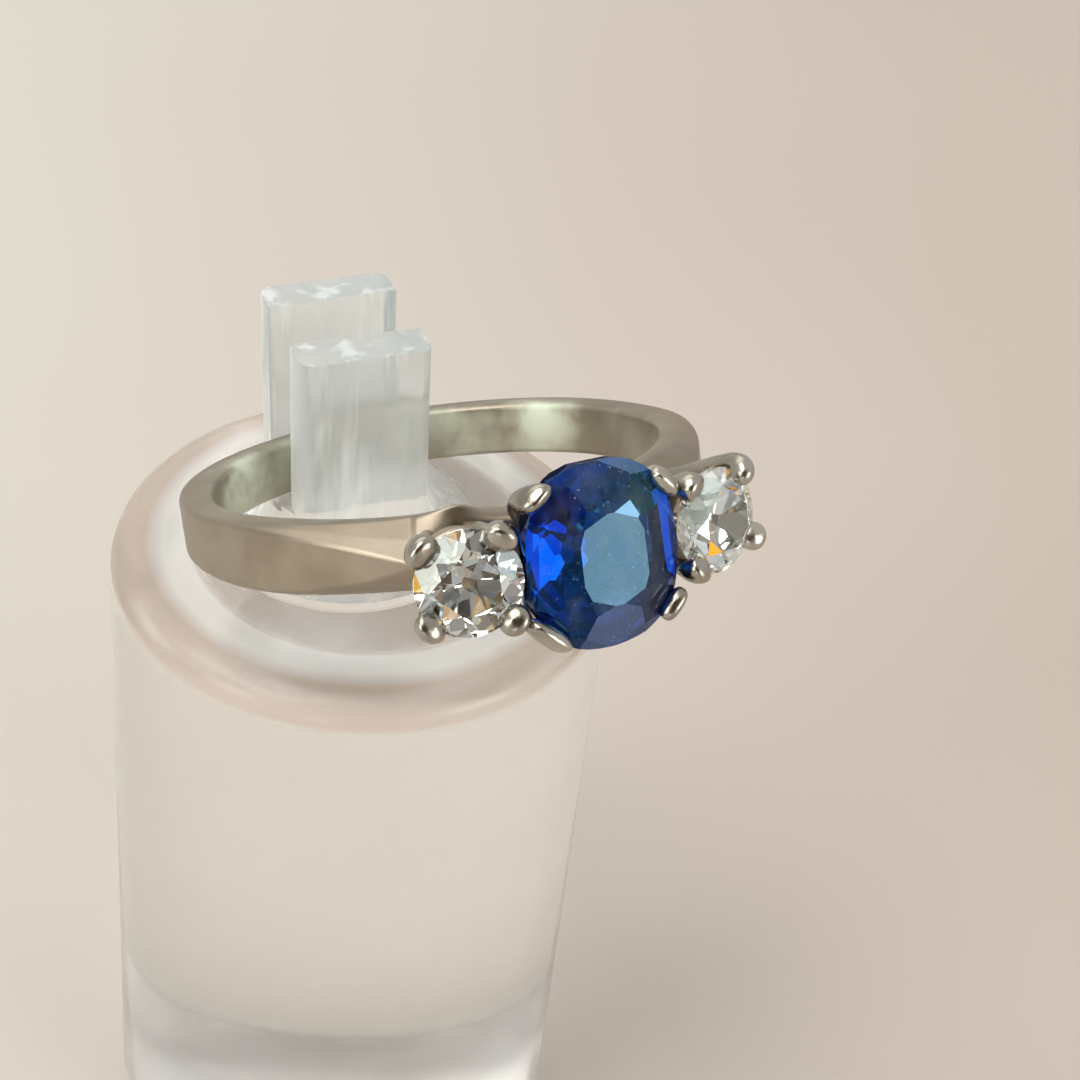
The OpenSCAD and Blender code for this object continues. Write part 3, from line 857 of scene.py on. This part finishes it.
    def execute(self, context):
        s, c = context.scene.stone_sizes, context.scene.finishes
        crown, half = s.sapphire_crown / MM, s.girdle_t / MM / 2
        tiers = [
            (1, 0, 0, 0, crown, 0),
            (8, 22.5, 15, 0.46, crown, 0.8),
            (8, 0, 28, 1, half, 0.5),
            (16, 11.25, 38, 0.98, half, 0.6),
            (16, 0, 100, 1.0, -half, 1),
            (8, 0, 132, 0.94, -0.75, 1),
            (8, 0, 137, 0.84, -1.06, 1),
            (8, 0, 142, 0.7, -1.43, 1),
            (8, 0, 148, 0.5, -1.875, 1),
            (8, 22.5, 158, 0.28, -2.27, 1),
            (1, 0, 180, 0, -2.5, 0),
        ]
        outline = (s.sapphire_w / 2 / MM, s.sapphire_l / 2 / MM, SAPPHIRE_SQUARE)
        stuff = gem(
            "sapphire_blue", 1.77, c.blue, c.blue_depth, c.blue_glance, worn=0.08, Roughness=0.35,
            Specular_IOR_Level=0.0)
        add_stone("sapphire", outline, tiers, 3, self.paint, stuff)
        return {"FINISHED"}


class RING_OT_diamonds(bpy.types.Operator):
    """The two round brilliants"""
    bl_idname = "ring.diamonds"
    bl_label = "Diamonds"

    def execute(self, context):
        s, c = context.scene.stone_sizes, context.scene.finishes
        crown, half, radius = s.diamond_crown / MM, s.girdle_t / MM / 2, s.diamond_d / 2 / MM
        table_share = 1 - (crown - half) / math.tan(math.radians(35)) / radius
        tiers = [
            (1, 0, 0, 0, crown, 0),
            (8, 0, 22, table_share * math.cos(math.radians(22.5)), crown, 1),
            (8, 22.5, 35, 1, half, 0.8),
            (16, 11.25, 42, 0.99, half, 1),
            (16, 11.25, 136.5, 0.99, -half, 1.5),
            (8, 22.5, 139, 1, -half, 1.5),
            (1, 0, 180, 0, -1.5, 0),
        ]
        # each facet takes a random tint and lining from these, as painted light and shade: white to brown,
        # with an orange lining for painted fire
        tints = np.array([
            (1, 1, 1), (0.9, 0.93, 0.86), (0.8, 0.84, 0.76), (0.85, 0.96, 1), (0.8, 0.76, 0.68),
            (0.68, 0.64, 0.58), (1, 0.93, 0.75), (0.66, 0.55, 0.46)])
        linings = np.array([
            (1, 1, 1), (1, 1, 1), (0.95, 0.98, 1), (0.85, 0.94, 1), (0.97, 0.94, 0.9), (0.8, 0.78, 0.75),
            (1, 0.6, 0.15), (0.62, 0.52, 0.45)])
        # upper bounds of the facets' Z: pavilion and girdle (0), breaks (1), mains (2), stars (3), table (4)
        kinds = (0.05, 0.78, 0.88, 0.99)
        # name, side, seed, how white, colour of its mirror light, painted light of the linings, and the
        # crown's facets painted to flash or stay dull, as painted highlights and painted shade: kind,
        # azimuth, colour, how much, its own light
        stones = [
            ("left", -1, 5, (0.9, 0.95, 1), (0.42, 0.45, 0.45), 0.06, [
                (1, 168.75, 1, 0.6, 0.08, 0.8, 0.15), (3, -135, 1, 0.72, 0.42, 0.5, 0.1),
                (2, 22.5, 0.8, 0.95, 1, 0.6, 0), (2, 112.5, 0.28, 0.32, 0.28, 0.35, 0),
                (2, 157.5, 0.32, 0.34, 0.3, 0.4, 0), (3, 135, 0.4, 0.4, 0.3, 0.3, 0),
                (3, 180, 0.3, 0.22, 0.16, 0.4, 0)]),
            ("right", 1, 8, (0.95, 1, 1), (0.85, 1, 0.98), 0.8, [
                (3, -135, 1, 0.42, 0.02, 0.95, 0.45), (2, 157.5, 0.75, 0.95, 0.9, 0.65, 0.05),
                (3, 180, 0.8, 1, 0.95, 0.6, 0.05), (2, 112.5, 0.72, 0.88, 0.8, 0.4, 0),
                (3, 135, 0.8, 0.98, 0.92, 0.3, 0), (2, 22.5, 0.6, 0.68, 0.55, 0.3, 0),
                (2, -67.5, 0.85, 0.95, 0.88, 0.35, 0), (4, 0, 0.7, 0.8, 0.7, 0.12, 0)]),
        ]
        reach_round = 16  # degrees to either side of a mark's azimuth
        for name, side, seed, white, glance, painted_glow_strength, marks in stones:
            def paint(facing, chance):
                n = len(facing)
                tint = tints[chance.integers(len(tints), size=n)] * white
                lining = linings[chance.integers(len(linings), size=n)]
                lined = np.where(facing[:, 2] < -0.05, np.maximum(chance.uniform(-0.5, 0.5, n), 0), 0)
                # painted light: the linings give light of their own, the orange ones most
                painted_glow = lining * np.where(lining[:, 2] < 0.3, 0.7, painted_glow_strength)[:, None]
                kind = np.digitize(facing[:, 2], kinds)
                for marked, azimuth, *colour, share, own in marks:
                    hit = (kind == marked) & (turned_from(azimuth, facing)[:, 0] <= reach_round)
                    lining[hit], lined[hit], painted_glow[hit] = colour, share, np.array(colour) * own
                return tint, lining, lined, painted_glow

            stuff = gem(f"diamond_{name}", 2.42, c.ice, c.ice_depth, glance, Metallic=0.6, Roughness=0.06)
            add_stone(f"diamond_{name}", (radius, radius, 2), tiers, seed, paint, stuff, side)
        return {"FINISHED"}


# Stand

def lathe(profile, steps=192):
    """A profile of (radius, height) turned about Z. It starts and ends on the axis."""
    a, p = all_round(steps), np.asarray(profile)
    points = np.stack([p[:, :1] * np.cos(a), p[:, :1] * np.sin(a), np.repeat(p[:, 1:], steps, 1)], -1)
    flat = points.reshape(-1, 3)
    return flat, outwards(flat, grid_faces(len(p), steps, closed_rows=False))


def arc(centre, radius, start, end, n=12):
    """Points on an arc, angles in degrees from the outward direction."""
    a = np.radians(np.linspace(start, end, n))
    return np.column_stack([centre[0] + radius * np.cos(a), centre[1] + radius * np.sin(a)])


def rounded_box(half, corner, low, high, steps=10):
    """An upright bar whose section is a rectangle with round corners, between two heights."""
    x, y = half
    outline = np.vstack([
        arc((sx * (x - corner), sy * (y - corner)), corner, start, start + 90, steps)
        for sx, sy, start in ((1, 1, 0), (-1, 1, 90), (-1, -1, 180), (1, -1, 270))])
    # the section shrinks to a point at each end
    levels = ((0, low), (1, low), (1, high), (0, high))
    flat = np.vstack([np.column_stack([size * outline, np.full(len(outline), z)]) for size, z in levels])
    return flat, outwards(flat, grid_faces(4, len(outline), closed_rows=False))


def solid_object(name, points, faces):
    """A closed mesh with its doubled points merged, for joining or cutting."""
    solid = add_object(name, new_mesh(name, points, faces))
    weld = solid.modifiers.new("weld", "WELD")
    weld.merge_threshold = 1e-7
    return solid


class STAND_OT_clear(bpy.types.Operator):
    """Column, flared foot and slit post, cemented into one clear piece"""
    bl_idname = "ring.clear_stand"
    bl_label = "Clear stand"

    def execute(self, context):
        s = context.scene.stand_sizes
        r, top, e = s.column_d / 2, s.column_h, s.column_edge
        column = np.vstack([
            [(0, 0), (r - s.chamfer, 0), (r, s.chamfer)],
            arc((r - e, top - e), e, 0, 90, 16), [(0, top)]])
        # the foot and the post start inside the column, and the slit's cutter is wider than the post
        foot_sink, post_sink = 0.5 * MM, 2 * MM
        foot = np.vstack([
            [(0, -foot_sink), (s.foot_r, -foot_sink), (s.foot_r, s.foot_lip)],
            arc((s.foot_r, s.foot_lip + s.foot_curve), s.foot_curve, 270, 180, 16),
            [(0, s.foot_lip + s.foot_curve)]])
        lean = rotation("Z", s.post_turn) @ rotation("X", -s.post_lean)
        at = np.array([*s.post_foot, top])
        points, faces = lathe(column)
        stand = solid_object("stand", points, faces)
        points, faces = lathe(foot, 128)
        flared = solid_object("foot", points + at, faces)
        points, faces = rounded_box((s.post_w / 2, s.post_d / 2), s.post_corner, -post_sink, s.post_l)
        post = solid_object("post", points @ lean + at, faces)
        points, faces = rounded_box((s.post_w, s.slit_w / 2), 0.05 * MM, s.slit_floor, 2 * s.post_l)
        slit = solid_object("slit", (points + [0, s.slit_back, 0]) @ lean + at, faces)
        for other, operation in ((flared, "UNION"), (post, "UNION"), (slit, "DIFFERENCE")):
            cut = stand.modifiers.new(other.name, "BOOLEAN")
            cut.object, cut.operation, cut.solver = other, operation, "EXACT"
        soft = stand.modifiers.new("polished edges", "BEVEL")
        soft.width, soft.segments = 0.12 * MM, 2
        soft.limit_method, soft.angle_limit = "ANGLE", math.radians(40)
        made = bpy.data.meshes.new_from_object(stand.evaluated_get(context.evaluated_depsgraph_get()))
        for used in (stand, flared, post, slit):
            bpy.data.objects.remove(used)
        points = np.empty(len(made.vertices) * 3)
        made.vertices.foreach_get("co", points)
        faces = [tuple(p.vertices) for p in made.polygons]
        add_piece(
            "clear_stand", points.reshape(-1, 3), faces, clear_acrylic(),
            replaces=("stand_column", "stand_clip"), crisp=math.radians(35))
        return {"FINISHED"}


# Stage

class STAGE_OT_set(bpy.types.Operator):
    """Pale table, soft lights and the camera"""
    bl_idname = "ring.stage"
    bl_label = "Stage"

    def execute(self, context):
        scene = context.scene
        c = scene.finishes
        # the table's half side, and how far it lies under the stand
        half, low = 1.5, -0.05 * MM
        points = np.array([(-half, -half, low), (half, -half, low), (half, half, low), (-half, half, low)])
        floor = add_object("floor", new_mesh("floor", points, [(0, 1, 2, 3)]))
        floor.data.materials.append(table_top())

        world = bpy.data.worlds.new("sky")
        world.use_nodes = True
        world.node_tree.nodes.clear()
        n = Nodes(world.node_tree)
        way = n.add("ShaderNodeTexCoord", output="Generated")
        toward_viewer = n.add(
            "ShaderNodeVectorMath", {"operation": "DOT_PRODUCT"}, {0: way, 1: (-0.41, -0.66, 0.63)},
            output="Value")
        room = n.mix(n.between(toward_viewer, 0.78, 0.95), c.sky, c.shade)
        light = n.add("ShaderNodeBackground", inputs={"Color": room, "Strength": 0.75})
        n.tree.links.new(light.socket, n.tree.nodes.new("ShaderNodeOutputWorld").inputs["Surface"])
        scene.world = world

        # name, place, aimed at, size, power, colour
        lights = [
            ("window", (0.3, -0.62, 0.22), (0, -0.02, 0.045), (0.34, 0.3), 1.4, (1, 1, 0.93)),
            ("front", (-0.46, -0.56, 0.12), (0, 0, 0.04), (0.16, 0.1), 0.15, (0.95, 1, 0.93)),
            ("back", (-0.06, 0.52, 0.5), (0, 0, 0.04), (0.6, 0.4), 0.75, (1, 0.97, 0.9)),
            ("ceiling", (-0.35, 0.05, 0.7), (0, 0, 0.03), (0.6, 0.4), 2.9, (1, 0.98, 0.94)),
            ("left", (-0.6, -0.1, 0.3), (0, 0, 0.04), (0.25, 0.3), 1.0, (1, 0.97, 0.92)),
        ]
        for name, place, aim, size, power, colour in lights:
            data = bpy.data.lights.new(name, "AREA")
            data.shape, (data.size, data.size_y) = "RECTANGLE", size
            data.energy, data.color = power, colour
            light = add_object(name, data)
            away = Vector(np.array(place) - np.array(aim))
            turned = away.to_track_quat("Z", "Y").to_matrix().to_4x4()
            light.matrix_world = Matrix.Translation(place) @ turned

        data = bpy.data.cameras.new("camera")
        data.sensor_width, data.lens = 36, 77.78
        data.clip_start, data.clip_end = 0.01, 10
        camera = add_object("camera", data)
        # fitted to the photograph's outlines: the camera's place, and its directions right, up and back
        place = (-0.033521, -0.068987, 0.095878)
        right, up, back = (0.8864, -0.4534, 0.0939), (0.2229, 0.5955, 0.7718), (-0.4058, -0.6632, 0.6289)
        turned = Matrix((right, up, back)).transposed().to_4x4()
        camera.matrix_world = Matrix.Translation(place) @ turned
        scene.camera = camera
        scene.view_settings.view_transform = "Standard"
        # light crosses many facets before it leaves a stone
        scene.cycles.transmission_bounces = scene.cycles.max_bounces = 24
        return {"FINISHED"}


class RING_PT_panel(bpy.types.Panel):
    """Lists the steps that build the ring and its stand"""
    bl_label = "Ring"
    bl_space_type = "VIEW_3D"
    bl_region_type = "UI"
    bl_category = "Ring"

    def draw(self, context):
        for step in STEPS:
            self.layout.operator(step.bl_idname)
        for group in GROUPS:
            self.layout.label(text=group.__doc__)
            for name in group.__annotations__:
                self.layout.prop(getattr(context.scene, GROUPS[group]), name)


GROUPS = {RingSizes: "ring_sizes", StoneSizes: "stone_sizes", StandSizes: "stand_sizes", Finishes: "finishes"}
STEPS = [
    RING_OT_band, RING_OT_sapphire_claws, RING_OT_diamond_claws, RING_OT_collets, RING_OT_sapphire,
    RING_OT_diamonds, STAND_OT_clear, STAGE_OT_set,
]


def register():
    for group, name in GROUPS.items():
        bpy.utils.register_class(group)
        setattr(bpy.types.Scene, name, PointerProperty(type=group))
    for cls in [*STEPS, RING_PT_panel]:
        bpy.utils.register_class(cls)


def unregister():
    for cls in [*STEPS, RING_PT_panel]:
        bpy.utils.unregister_class(cls)
    for group, name in GROUPS.items():
        delattr(bpy.types.Scene, name)
        bpy.utils.unregister_class(group)


def main():
    """Builds everything in order."""
    register()
    for step in STEPS:
        family, call = step.bl_idname.split(".")
        getattr(getattr(bpy.ops, family), call)()


if __name__ == "__main__":
    main()
